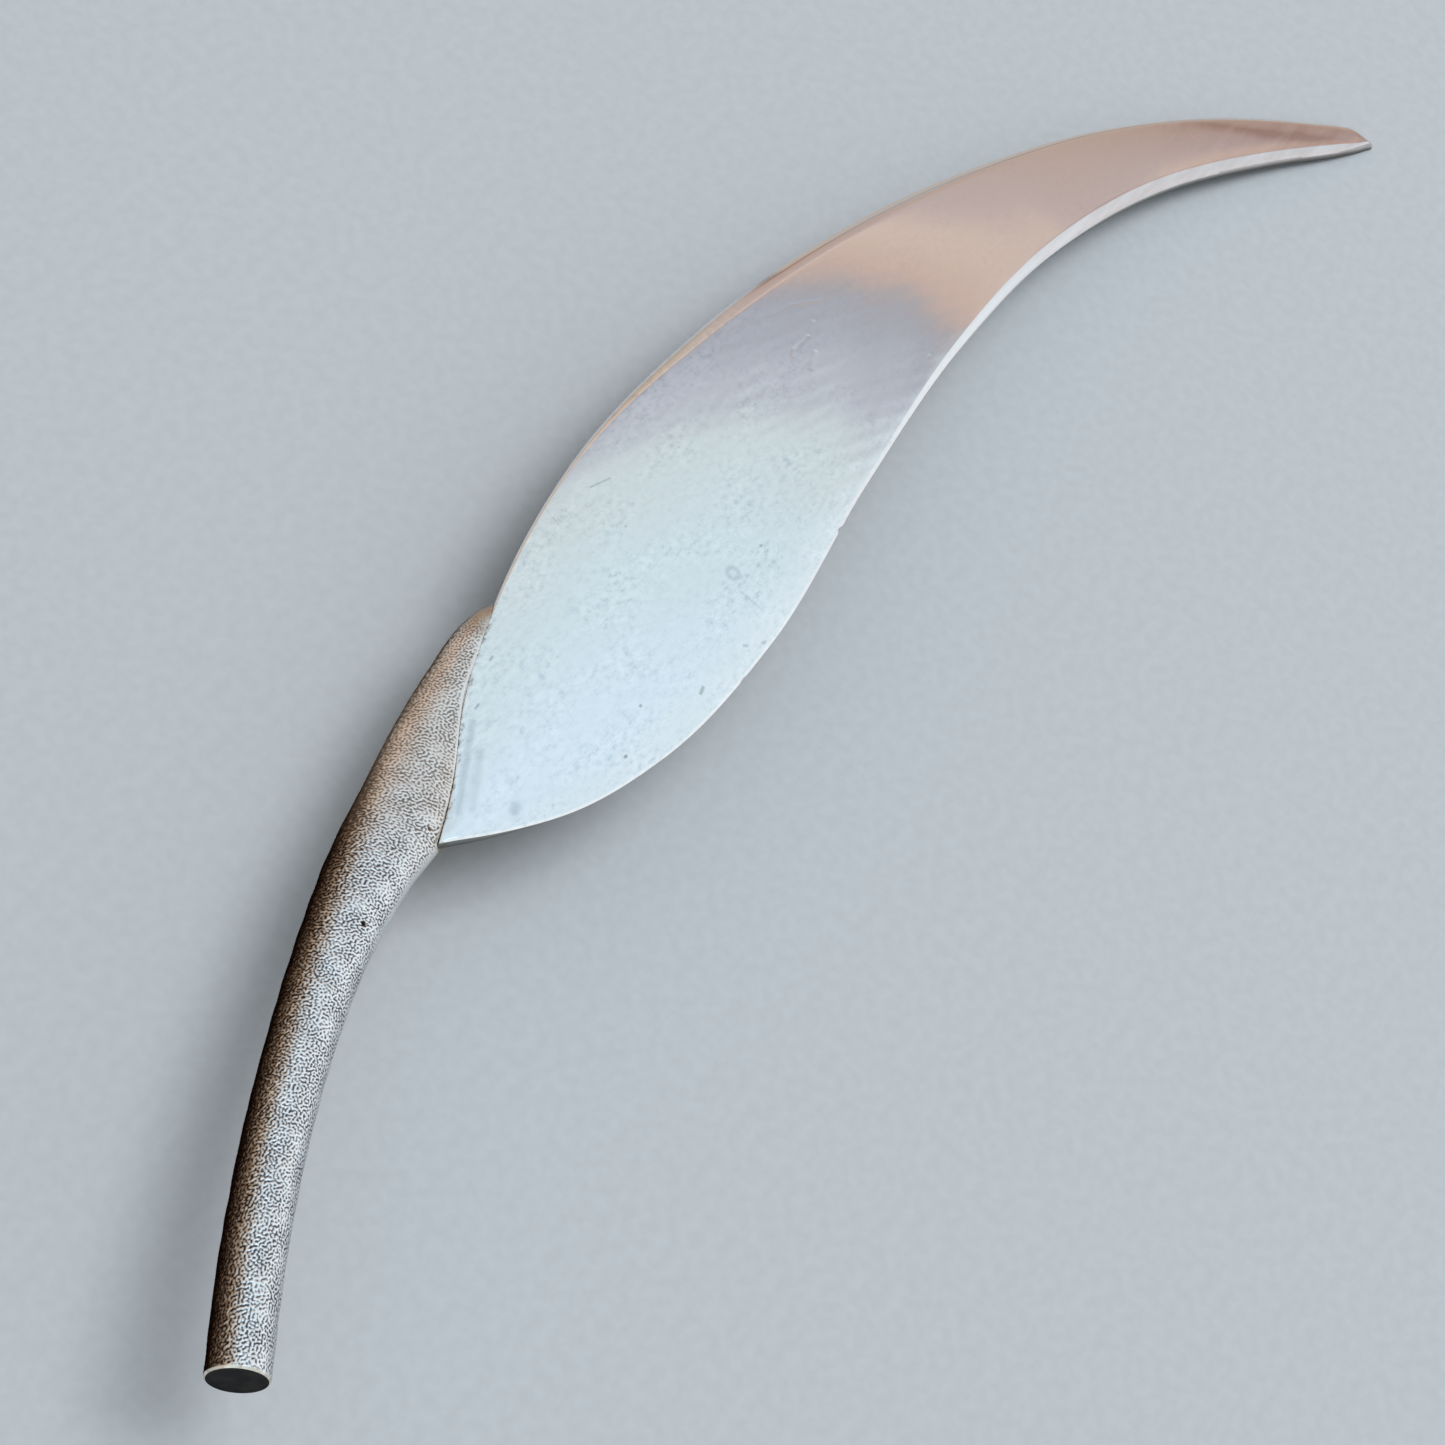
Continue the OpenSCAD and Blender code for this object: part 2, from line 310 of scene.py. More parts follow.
def sprayedPaint():
    # pale grey sprayed paint with a fine orange peel: matt, with small soft bumps
    material, add, shader, inMm = newMaterial("sprayedPaint")
    peel = add("ShaderNodeTexNoise", {"Vector": inMm, "Scale": 1 / table["peel"], "Detail": 1.0})
    tone = add("ShaderNodeValToRGB", {0: peel}, stops=[(0.3, "#9a9c9e"), (0.7, "#9ea0a2")])
    bump = add("ShaderNodeBump", {"Height": peel, "Strength": 0.5, "Distance": table["peelDepth"] * mm})
    setInputs(shader, {"Base Color": tone, "Normal": bump, "Roughness": 0.6, "Specular IOR Level": 0.3})
    return material


def addTable():
    half = table["width"] / 2
    mesh = bpy.data.meshes.new("table")
    corners = [(-half, -half, 0), (half, -half, 0), (half, half, 0), (-half, half, 0)]
    mesh.from_pydata(corners, [], [(0, 1, 2, 3)])
    mesh.materials.append(sprayedPaint())
    top = addObject("table", mesh)


# leaf
leafLeft, leafRight, leafBack, leafBevel, bevelDepth = 1, 2, 3, 4, 5  # the columns after the first
leafRows = np.array([
    # along, left edge, right edge, height of its back, width and depth of the right edge's bevel
    [-23.9, 8.25, 8.25, 5.15, 0.12, 0.08],
    [-21.5, 9.5, 6.67, 5.09, 0.12, 0.08],
    [-19, 11.15, 5.39, 5.03, 0.12, 0.08],
    [-14, 13.52, 4.15, 4.93, 0.12, 0.08],
    [-6, 15.72, 4.2, 4.77, 0.13, 0.08],
    [4, 16.32, 6.05, 4.45, 0.18, 0.1],
    [14, 15.5, 7.4, 3.8, 0.36, 0.16],
    [24, 13.3, 7.5, 2.68, 0.56, 0.23],
    [33, 10.1, 5.79, 1.45, 0.62, 0.26],
    [40, 6.15, 2.86, 0.6, 0.56, 0.24],
    [44, 2.95, 0.78, 0.16, 0.4, 0.19],
    [45.2, 1.82, 0.24, 0.04, 0.2, 0.2],
    [45.75, 1.1, 0.02, 0.01, 0.18, 0.15],
    [46, 0.4, -0.1, 0, 0.12, 0.1],
])
leafLean = np.array([
    # along, how far its right side leans in under its edge
    [-23.9, 0], [-22.5, 0.05], [-21, 0.15], [-19, 0.2], [-14, 0.12], [-8, 0.08], [14, 0.08], [24, 0.04],
    [30, 0], [46, 0],
])
leafRoll = np.array([
    # along, width of the strip by its left edge that rolls down, slope where it starts and at the edge,
    # width of its rim of warm tarnish and painted reflection
    [-23.9, 0.04, 0.1, 0.1, 0.1], [-9, 0.1, 0.2, 0.3, 0.1], [-6, 0.16, 0.3, 0.45, 0.12],
    [-2, 0.32, 0.36, 0.58, 0.24], [6, 0.64, 0.37, 0.66, 0.36], [20, 0.66, 0.36, 0.68, 0.44],
    [28, 0.48, 0.34, 0.5, 0.38], [34, 0.3, 0.34, 0.36, 0.24], [40, 0.26, 0.34, 0.36, 0.2],
    [44, 0.22, 0.34, 0.36, 0.13], [46, 0.1, 0.3, 0.3, 0.08],
])
leaf = {
    # mm
    "edge": 0.7, "crown": 0.4, "widest": 11.6,  # its edges' thickness, and more in its middle
    "rounding": 0.14, "mostRounding": 0.3, "cornerCut": 0.06,
    "crease": 0.015, "bevelCurve": (1.15, 2.5),  # the right edge's bevel, nearly flat and then rounded
    "soft": (10, 22),  # along, where its crease gives way to a soft rounding
    "tipStretch": 0.7, "tipFall": 0.85,
    "chamfer": 0.1,  # along both edges of its back
    "rollSoft": 0.06,
    "grooves": (0.35, 0.9), "grooveDepth": 0.007, "grooveWidth": 0.12,  # beside the seam with the stem
    "groovesAlong": (-23.5, -21.5, -18.5, -15.5),  # come in, and go
    "flush": 0.09, "flushTo": -21.0, "flushWidth": 0.5,  # its first corner is level with the stem's head
    "filed": 0.3, "filedAlong": (-23.5, -22.5, -14.6, -13.6),  # width of its file marks by the seam
    "besideStem": (-15.6, -11.6), "besideRounding": 0.25,  # its left edge is crisper up to here
    "nicks": [(1.15, 0.09, 0.12), (-8.3, 0.03, 0.2)],  # in its right edge: along, depth, half width
    # the hammer's and the burnisher's marks: count, mm along, mm across, steepness
    "dents": (30, (5, 10), (2.5, 5), 0.004),
    "rubs": (60, (1.4, 4), (0.35, 1.1), 0.007),
    "calmTip": (6, 20), "calm": 0.3,  # mm along where the marks get fainter, and how faint
    "sections": 600, "topPoints": 78, "rollPoints": 20, "roundPoints": 7, "backPoints": 10,
    "closer": 0.16,  # how much closer the sections stand at both ends
    "sawnGreyAndShade": (0.6, 0.8, 0.5),  # how much of the sawn grey and painted shade shows at its right edge, left edge and back
}
leafTint = {
    # how strong each part of its warm tarnish and painted warm reflection is, and mm along where it comes in
    # and goes
    "rim": (0.15, 0.85), "rimFaint": (-9, -1), "rimFull": (7, 12), "rimSolid": 0.6,  # share of the rim's width
    "blush": 0.28, "blushFrom": (28, 43), "blushEdge": (0.1, 0.45),  # mm from the left edge
    "patch": 0.2, "patchAlong": (34, 40, 43, 45), "patchMoves": (37, 41.5),
    "patchMiddle": (0.5, 0.65), "patchSides": (0.28, 0.46),  # from the left edge, further in; either side
    "band": 0.1, "bandAlong": (2, 8, 22, 29), "bandMiddle": 0.34, "bandWidth": 0.12,
    "bevel": (0.12, 0.33), "bevelFaint": (-6, 4), "bevelFull": (14, 30), "bevelShares": (0.75, 0.65),
}
leafScratches = [
    # from x, y to x, y, radius of a ring, width, depth in mm
    (8.9, 12.93, 8.05, 12.63, 0, 0.18, 0.007), (8.05, 12.63, 6.85, 12.6, 0, 0.18, 0.012),
    (6.85, 12.6, 6.5, 12.45, 0, 0.16, 0.01), (7.56, 11.88, 6.68, 11.48, 0, 0.2, 0.006),
    (8.8, 14.25, 7.5, 14.5, 0, 0.14, 0.003), (10.2, 13.45, 8.8, 14.25, 0, 0.14, 0.003),
    (-8.4, 15.2, -9.1, 12.7, 0, 0.05, 0.002), (12.05, 8.16, 12.2, 8.16, 0, 0.13, 0.003),
]
leafStains = [
    # from x, y to x, y, radius of a ring, width in mm, how dark
    (-22.35, 8.57, -18.75, 10.77, 0, 0.26, 0.12), (-21.8, 8.3, -19.6, 9.7, 0, 0.34, 0.07),
    (-6.2, 14.4, -5.2, 14.1, 0, 0.07, 0.22), (-5.2, 6.7, -5.1, 5.5, 0, 0.12, 0.07),
    (-18.2, 11.06, -17.95, 11.1, 0, 0.07, 0.42), (-16.0, 12.06, -15.8, 12.11, 0, 0.08, 0.36),
    (-4.77, 7.47, -4.77, 7.47, 0.27, 0.2, 0.11), (-2.7, 7.45, -2.65, 7.45, 0, 0.1, 0.35),
    (-15.22, 5.31, -15.15, 5.31, 0, 0.11, 0.6), (-7.1, 4.98, -7.0, 4.9, 0, 0.12, 0.22),
    (-6.3, 4.5, -6.2, 4.46, 0, 0.12, 0.26), (-12.94, 6.32, -12.9, 6.32, 0, 0.1, 0.5),
    (-20.6, 7.02, -20.4, 7.08, 0, 0.36, 0.17), (-10.4, 4.9, -10.1, 5.0, 0, 0.12, 0.4),
]


def leafAt(column, x):
    return alongRows(leafRows, column, x)


def ripples(x, y, marks, seed):
    # soft unevenness, the sum of waves of many lengths that run mostly lengthwise
    count, lengths, widths, steepness = marks
    rng = np.random.default_rng(seed)
    height = 0
    for wave in range(count):
        along, across = 1 / rng.uniform(*lengths), 1 / rng.uniform(*widths)
        along *= rng.choice((-1, 1))
        swell = steepness * math.sqrt(2 / count) / (2 * math.pi * math.hypot(along, across))
        height = height + swell * np.sin(2 * math.pi * (x * along + y * across + rng.uniform()))
    return height


def fromLeafLeft(x, y):
    # distance to its left edge
    return (leafAt(leafLeft, x) - y) / np.sqrt(1 + slopeAlong(leafRows, leafLeft, x) ** 2)


def leafFace(x, y):
    # height of the leaf's upper face: crowned, rolled down at its left edge, with its marks
    left, right = leafAt(leafLeft, x), leafAt(leafRight, x)
    half = (left - right) / 2
    off = np.clip((y - right - half) / half, -1, 1)
    past = np.clip(x - leafRows[-1, 0] + leaf["tipStretch"], 0, None) / leaf["tipStretch"]
    thick = leaf["edge"] * np.sqrt(1 - leaf["tipFall"] * past**2)
    height = np.maximum(0, leafAt(leafBack, x)) + thick
    height = height + leaf["crown"] * half * 2 / leaf["widest"] * (1 - off**2)
    fromLeft = fromLeafLeft(x, y)
    width, gentle, steep = (alongRows(leafRoll, column, x) for column in (1, 2, 3))
    inRoll = (width - fromLeft + np.hypot(width - fromLeft, leaf["rollSoft"])) / 2
    height = height - gentle * inRoll - (steep - gentle) * inRoll**2 / (2 * width)
    marked = fadeTo(leaf["calm"], ease(*leaf["calmTip"], x))
    height = height + marked * (ripples(x, y, leaf["dents"], 3) + ripples(x, y, leaf["rubs"], 4))
    corner = 1 - ease(leafRows[0, 0], leaf["flushTo"], x)
    height = height - leaf["flush"] * corner * hump(fromLeft, leaf["flushWidth"])
    grooved = leaf["grooveDepth"] * inAndOut(leaf["groovesAlong"], x)
    for groove in leaf["grooves"]:
        height = height - grooved * hump(fromLeft - groove, leaf["grooveWidth"])
    return height


def leafTarnishAndReflection(x, fromLeft):
    # its blush towards the tip, a brown patch and a faint band in it, and the rim of its left edge: warm
    # tarnish that is partly a painted reflection of the warm parts of the room
    blush = ease(*leafTint["blushFrom"], x) * ease(*leafTint["blushEdge"], fromLeft)
    middle, further = leafTint["patchMiddle"]
    middle = middle + further * ease(*leafTint["patchMoves"], x)
    patch = inAndOut(leafTint["patchAlong"], x)
    patch = patch * hump(fromLeft - middle, np.where(fromLeft < middle, *leafTint["patchSides"]))
    band = inAndOut(leafTint["bandAlong"], x)
    band = band * hump(fromLeft - leafTint["bandMiddle"], leafTint["bandWidth"])
    tarnish = leafTint["blush"] * blush + leafTint["patch"] * patch + leafTint["band"] * band
    faint, full = leafTint["rim"]
    width = alongRows(leafRoll, 4, x)
    rim = faint * ease(*leafTint["rimFaint"], x) + full * ease(*leafTint["rimFull"], x)
    rim = rim * (1 - ease(leafTint["rimSolid"] * width, width, fromLeft))
    return np.maximum(tarnish, rim)


def leafRings(x):
    x = x[:, None]
    left, right = leafAt(leafLeft, x), leafAt(leafRight, x)
    for along, deep, wide in leaf["nicks"]:
        right = right + deep * hump(x - along, wide)
    back = np.maximum(0, leafAt(leafBack, x))
    most = leaf["mostRounding"] * (left - right)
    crisp = fadeTo(leaf["besideRounding"], 1 - ease(*leaf["besideStem"], x))
    roundLeft = np.minimum(leaf["rounding"] * crisp, most)
    depthLeft = np.minimum(roundLeft, (leafFace(x, left) - back) / 2)
    bevel = np.minimum(leafAt(leafBevel, x), most)
    depthRight = np.minimum(leafAt(bevelDepth, x), 0.75 * (leafFace(x, right) - back))
    share = np.linspace(0, 1, leaf["roundPoints"] + 1)
    turn = share * math.pi / 2
    chamfer = np.minimum(leaf["chamfer"], 0.3 * (left - right))
    lean = np.minimum(alongRows(leafLean, 1, x), 2.5 * chamfer)

    yRight = right + bevel * share
    flatter, rounder = leaf["bevelCurve"]
    soft = ease(*leaf["soft"], x)
    zRight = leafFace(x, yRight) - depthRight * (1 - share) ** (flatter + (rounder - flatter) * soft)
    yCrease = right + bevel + np.minimum(leaf["crease"], 0.1 * (left - right))
    yRoll = left - np.minimum(alongRows(leafRoll, 1, x) + 1.5 * leaf["rollSoft"], 1.25 * most)
    yTop = yCrease + (yRoll - yCrease) * np.linspace(0, 1, leaf["topPoints"] + 1)[1:]
    yInRoll = yRoll + (left - roundLeft - yRoll) * np.linspace(0, 1, leaf["rollPoints"] + 1)[1:-1]
    yTop = np.concatenate([yCrease, yTop, yInRoll], 1)
    yLeft = left - roundLeft * (1 - np.cos(turn[::-1]))
    zLeft = leafFace(x, yLeft) - depthLeft * (1 - np.sin(turn[::-1]))
    yBack = left - chamfer + (right - left + lean + 2 * chamfer) * np.linspace(0, 1, leaf["backPoints"])
    y = np.concatenate([right + lean, yRight, yTop, yLeft, left, yBack], 1)
    low = back + chamfer / 2
    z = np.concatenate([low, zRight, leafFace(x, yTop), zLeft, low, back + 0 * yBack], 1)

    # looks: where its sawn sides show, greyed and darkened as painted shade, its warm tarnish with painted
    # warm reflection, and file marks by the seam
    ones = np.ones_like(x)
    atRight, atLeft, atBack = leaf["sawnGreyAndShade"]
    sawnGreyAndShade = [ones, atRight * (1 - soft), 0 * yRight[:, 1:], 0 * yTop, 0 * yLeft, atLeft * ones,
            atBack + 0 * yBack]
    fromLeft = fromLeafLeft(x, y)
    tarnish = leafTarnishAndReflection(x, fromLeft)
    # painted reflection: the right edge's bevel is tinted warm, as if it mirrored the warm parts of the room
    faint, full = leafTint["bevel"]
    bevelTintAndReflection = faint * ease(*leafTint["bevelFaint"], x) + full * ease(*leafTint["bevelFull"], x)
    outer, inner = leafTint["bevelShares"]
    tarnish[:, 1:1 + yRight.shape[1]] = bevelTintAndReflection * (outer + (inner - outer) * share)
    filed = inAndOut(leaf["filedAlong"], x) * (1 - ease(0, leaf["filed"], fromLeft))
    looks = {"side": np.concatenate(sawnGreyAndShade, 1), "tarnish": tarnish, "filed": filed}
    return np.stack([x + 0 * y, y, z], 2), looks


def strongestMark(add, inMm, marks):
    # lines, rings and dots: the distance to each one, turned into a soft mark of its own strength
    place = add("ShaderNodeVectorMath", {0: inMm, 1: (1, 1, 0), 2: tuple(-boxStep)},
                operation="MULTIPLY_ADD")
    total = 0.0
    for x1, y1, x2, y2, ring, wide, strength in marks:
        run = Vector((x2 - x1, y2 - y1, 0))
        share = run / max(run.length_squared, 1e-6)
        away = add("ShaderNodeVectorMath", {0: place, 1: (x1, y1, 0)}, operation="SUBTRACT")
        along = add("ShaderNodeVectorMath", {0: away, 1: share}, operation="DOT_PRODUCT")
        along = add("ShaderNodeClamp", {0: along})
        nearest = add("ShaderNodeVectorMath", {0: run, "Scale": along}, operation="SCALE")
        gap = add("ShaderNodeVectorMath", {0: away, 1: nearest}, operation="DISTANCE")
        gap = add("ShaderNodeMath", {0: gap, 1: ring}, operation="SUBTRACT")
        gap = add("ShaderNodeMath", {0: gap}, operation="ABSOLUTE")
        mark = add("ShaderNodeMapRange", {0: gap, "From Max": wide, "To Min": strength, "To Max": 0.0},
                   interpolation_type="SMOOTHSTEP")
        total = add("ShaderNodeMath", {0: total, 1: mark}, operation="MAXIMUM")
    return total


def satinSilver():
    # sterling silver, planished and rubbed lengthwise with fine abrasive: a soft mirror with pale and dull
    # flecks, small pits, sawn sides gone grey and darkened as painted shade, a warm tarnish on the tip that is
    # partly painted reflection, and a duller back
    material, add, shader, inMm = newMaterial("satinSilver")
    side, tarnish, filed = (add("ShaderNodeAttribute", attribute_name=name).outputs["Fac"]
                            for name in ("side", "tarnish", "filed"))

    def streaked(long, wide, detail, roughness=0.5):
        # noise drawn out to a length along the leaf and a width across it, in mm
        drawn = add("ShaderNodeMapping", {"Vector": inMm, "Scale": (1 / long, 1 / wide, 1 / wide)})
        return add("ShaderNodeTexNoise",
                   {"Vector": drawn, "Scale": 1.0, "Detail": detail, "Roughness": roughness})

    # flecks, in patches that get fainter towards the tip
    tone = add("ShaderNodeValToRGB", {0: streaked(0.38, 0.24, 3.0, 0.65)},
               stops=[(0.29, "#dce1e4"), (0.41, "#eff2f3"), (0.52, "#f8f9f9"), (0.64, "#ffffff")])
    patches = add("ShaderNodeMapRange",
                  {0: streaked(3.2, 1.8, 2.0), "From Min": 0.42, "From Max": 0.62, "To Min": 0.35})
    along = add("ShaderNodeSeparateXYZ", {0: inMm}).outputs["X"]
    quiet = add("ShaderNodeMapRange",
                {0: along, "From Min": 3.0, "From Max": 12.0, "To Min": 1.0, "To Max": 0.2})
    shown = add("ShaderNodeMath", {0: patches, 1: quiet}, operation="MULTIPLY")
    colour = add("ShaderNodeMix", {0: shown, 6: linearColour("#f6f7f7"), 7: tone}, data_type="RGBA")
    # pits, stains, the sawn sides with their painted shade, the tarnish and painted warm reflection in clouds,
    # and the file marks
    pitDistance, pitSize = 3.2, 0.05  # mm
    pits = add("ShaderNodeTexVoronoi", {"Vector": inMm, "Scale": 1 / pitDistance})
    rim = pitSize / pitDistance
    pits = add("ShaderNodeMapRange", {0: pits, "From Min": rim, "From Max": 1.8 * rim, "To Min": 0.75})
    stained = add("ShaderNodeValToRGB", {0: strongestMark(add, inMm, leafStains)},
                  stops=[(0, "#ffffff"), (0.1, "#e9edef"), (0.2, "#dee1e2"), (1, "#77787a")])
    # painted shade: the sawn sides go dark grey, as if they mirrored a shaded table
    sawnGreyAndShade = add("ShaderNodeValToRGB", {0: side},
               stops=[(0, "#ffffff"), (0.15, "#e6e1da"), (0.5, "#9b9992"), (1, "#484942")])
    clouds = add("ShaderNodeMath", {0: streaked(2.5, 0.5, 3.0), 1: 0.7}, operation="ADD")
    warm = add("ShaderNodeMath", {0: tarnish, 1: clouds}, operation="MULTIPLY")
    # the warm tint: tarnish, and a painted reflection of the warm parts of the room
    warm = add("ShaderNodeValToRGB", {0: warm},
               stops=[(0, "#ffffff"), (0.3, "#eee6e5"), (0.55, "#d3c3bd"), (0.72, "#d2c3ba"),
                      (1, "#fee6d4")])
    scraped = add("ShaderNodeValToRGB", {0: streaked(0.42, 0.18, 3.0, 0.65)},
                  stops=[(0.34, "#8f8a86"), (0.42, "#d3d1ce"), (0.5, "#ffffff")])
    for share, layer in ((1.0, pits), (1.0, stained), (1.0, sawnGreyAndShade), (1.0, warm), (filed, scraped)):
        colour = add("ShaderNodeMix", {0: share, 6: colour, 7: layer},
                     data_type="RGBA", blend_type="MULTIPLY")
    # its rubbed streaks, wider than the real 0.05 mm so that they show, and its scratches
    streaks = streaked(2.6, 0.2, 3.0)
    rough = add("ShaderNodeMapRange", {0: streaks, "To Min": 0.05, "To Max": 0.1})
    rough = add("ShaderNodeMath", {0: side, 1: 0.3, 2: rough}, operation="MULTIPLY_ADD")
    relief = add("ShaderNodeMath", {0: streaks, 1: 0.0008}, operation="MULTIPLY")  # mm deep
    relief = add("ShaderNodeMath", {0: relief, 1: strongestMark(add, inMm, leafScratches)},
                 operation="SUBTRACT")
    bump = add("ShaderNodeBump", {"Height": relief, "Strength": 0.7, "Distance": mm})
    setInputs(shader, {"Base Color": colour, "Roughness": rough, "Normal": bump, "Metallic": 1.0})
    return material


def addLeaf():
    first, last = leafRows[0, 0] + leaf["cornerCut"], leafRows[-1, 0]
    t = np.linspace(0, 1, leaf["sections"] + 1)
    t = t + leaf["closer"] * np.sin(math.pi * (2 * t - 1)) / math.pi
    rings, looks = leafRings(first + (last - first) * t)
    finishPiece(meshFromRings("silverLeaf", rings), [satinSilver()], looks, 40, "leaf_blade")


# stem
stemSide, stemMiddle, reachLeft, reachRight, halfHeight = 1, 2, 3, 4, 5  # the columns after the first
stemRows = np.array([
    # along, sideways, height of its middle, reach to the left and right, half its height
    [-46.1, -0.29, 7.1, 1, 1, 1],
    [-42, 2.43, 6.65, 1.01, 1.03, 1.01],
    [-38, 4.75, 6.2, 1.03, 1.06, 1.02],
    [-34, 6.75, 5.8, 1.08, 1.11, 1.04],
    [-30, 8.4, 5.45, 1.22, 1.22, 1.04],
    [-26.5, 9.6, 5.2, 1.38, 1.5, 0.96],
    [-23.5, 10.4, 5.02, 1.44, 1.8, 0.86],
    [-20.5, 11.35, 4.95, 1.38, 1.6, 0.8],
    [-17.5, 12.35, 4.92, 1.13, 1.4, 0.78],
    [-15.2, 13.2, 4.92, 0.74, 1.1, 0.75],
    [-14.2, 13.52, 4.92, 0.43, 0.7, 0.66],
    [-13.6, 13.7, 4.92, 0.15, 0.2, 0.3],
])
stem = {
    # mm; degrees go round it from its left side, and 90 is its top
    "endThickness": 2.45, "rim": 0.08,
    "seamGap": 0.012, "seamOpens": 0.12, "openAt": -18.0, "openHalf": 1.2,  # the seam gapes in its middle
    "seamShade": 0.35, "seamShadeTo": 0.8,  # painted shade deep in the seam: how dark where it is closed, and up to which share of the leaf's edge
    "lapGap": 0.05, "seamLip": 0.14,  # the head's smooth lip beside the seam
    "lipPale": (0.08, 0.22), "lipTarnish": 0.7,  # from the seam, and its share of the head's tarnish
    "roundedTip": -15.2,  # along, where the head's round end begins
    "headFrom": -31.0,  # along, where the shaft's mesh ends and the head's begins
    "headLooks": (-28, -21),  # along, where the head's looks come in
    "cell": 0.042, "sides": 190, "tipRings": 60,  # between its mesh's rings, and how many points they have
    "trialRings": 400, "trialPoints": 720,
    "wrinkleWave": 0.15, "wrinkleDepth": 0.024, "wrinkleSides": (0.9, 0.12), "headDepth": 0.6,
    "wrinkleGrowth": (2, 1.8, 0.6),  # rounds, how hard it pushes, and how much the wave may differ
    # how much wider the wrinkles get by the patina, the swell and the crowded stretch, and everywhere
    "wider": (0.7, 0.22, 0.4, -0.12), "crowdedAt": 68, "crowdedHalf": 15,
    "swellWave": 1.5, "swellDepth": 0.006, "headSwell": 0.3,  # low unevenness under the wrinkles
    "patinaAndShadeFull": (10, 6), "patinaAndShadeGone": (80, 44), "patinaAndShadeBelow": (-150, -100),  # brown patina and painted shade on the left flank: on the shaft, on the head
    "headPatinaAndShade": 0.6, "patinaAndShadeWaver": 5, "waverWave": 0.3,
    "tipPatina": 0.22, "tipPatinaFrom": (-15.9, -14.7), "tipWrinkles": 0.4, "tipSmoothFrom": (-15.8, -14.4),
    "flankAlong": (-31, -28, -20, -18), "flankRound": (148, 162), "flankWrinkles": 0.2,  # smoother
    "pits": [(-29.1, 115, 0.1), (-23.75, 130, 0.07)],  # along, round, radius
    "pitDepth": 0.1, "pitDark": (0.2, 0.6), "pitPatina": 0.9,
    # the dull face of its free end: shares of its radius, and how far the face dips there
    "face": [(0.06, 0.02), (0.25, 0.02), (0.5, 0.02), (0.75, 0.015), (0.97, 0.01), (1.0, 0.0)],
}
tongue = {
    # mm, the plate of the stem that goes on under the leaf
    "thickness": 0.9, "length": 5.4, "inset": 0.35, "draw": 0.05, "narrowest": 0.3, "intoHead": 0.4,
    "beforeLeaf": 0.1, "squareness": 6, "points": 48, "sections": 40, "roundedEnd": 0.4, "endThins": 0.75,
    "patinaAndShade": 0.35,
}


def stemFrame(x):
    # its middle line, and the directions ahead, sideways and up along it
    middle = np.stack([x, alongRows(stemRows, stemSide, x), alongRows(stemRows, stemMiddle, x)], 1)
    ahead = np.stack([np.ones_like(x), slopeAlong(stemRows, stemSide, x),
                      slopeAlong(stemRows, stemMiddle, x)], 1)
    ahead /= np.linalg.norm(ahead, axis=1, keepdims=True)
    sideways = np.stack([-ahead[:, 1], ahead[:, 0], 0 * x], 1)
    sideways /= np.linalg.norm(sideways, axis=1, keepdims=True)
    return middle, ahead, sideways, np.cross(ahead, sideways)


def seamOpening(x):
    return hump(x - stem["openAt"], stem["openHalf"])


def seamWidth(x):
    return stem["seamGap"] + stem["seamOpens"] * seamOpening(x)


def makeRoomForLeaf(points):
    # the leaf takes the head's part that is above its back and right of its left edge
    x, y, z = points[..., 0], points[..., 1].copy(), points[..., 2].copy()
    wall = leafAt(leafLeft, x) + seamWidth(x)
    floor = leafAt(leafBack, x) - stem["lapGap"]
    taken = (x > leafRows[0, 0] - stem["seamGap"]) & (y < wall) & (z > floor)
    toWall = taken & (wall - y < z - floor)
    y[toWall] = wall[toWall]
    z[taken & ~toWall] = floor[taken & ~toWall]
    return np.stack([x, y, z], -1)


def evenlySpaced(ring, count):
    # the same outline with its points at equal steps
    closed = np.vstack([ring, ring[:1]])
    run = np.concatenate([[0], np.cumsum(np.linalg.norm(np.diff(closed, axis=0), axis=1))])
    places = np.linspace(0, run[-1], count, endpoint=False)
    return np.stack([np.interp(places, run, closed[:, k]) for k in range(3)], 1)


def growWrinkles(shape, wave, rounds=1, push=1.6, spread=0.5, seed=5):
    # the wrinkles of a reticulated casting: noise that is filtered to one wavelength again and again
    wave = wave / stem["cell"]
    field = np.random.default_rng(seed).standard_normal(shape)
    pace = np.hypot(np.fft.fftfreq(shape[0])[:, None], np.fft.rfftfreq(shape[1])[None])
    band = hump(pace * wave - 1, spread)
    for step in range(rounds + 1):
        field = np.fft.irfft2(np.fft.rfft2(field) * band, s=shape)
        field /= field.std()
        if step < rounds:
            field = np.tanh(push * field)
    return field


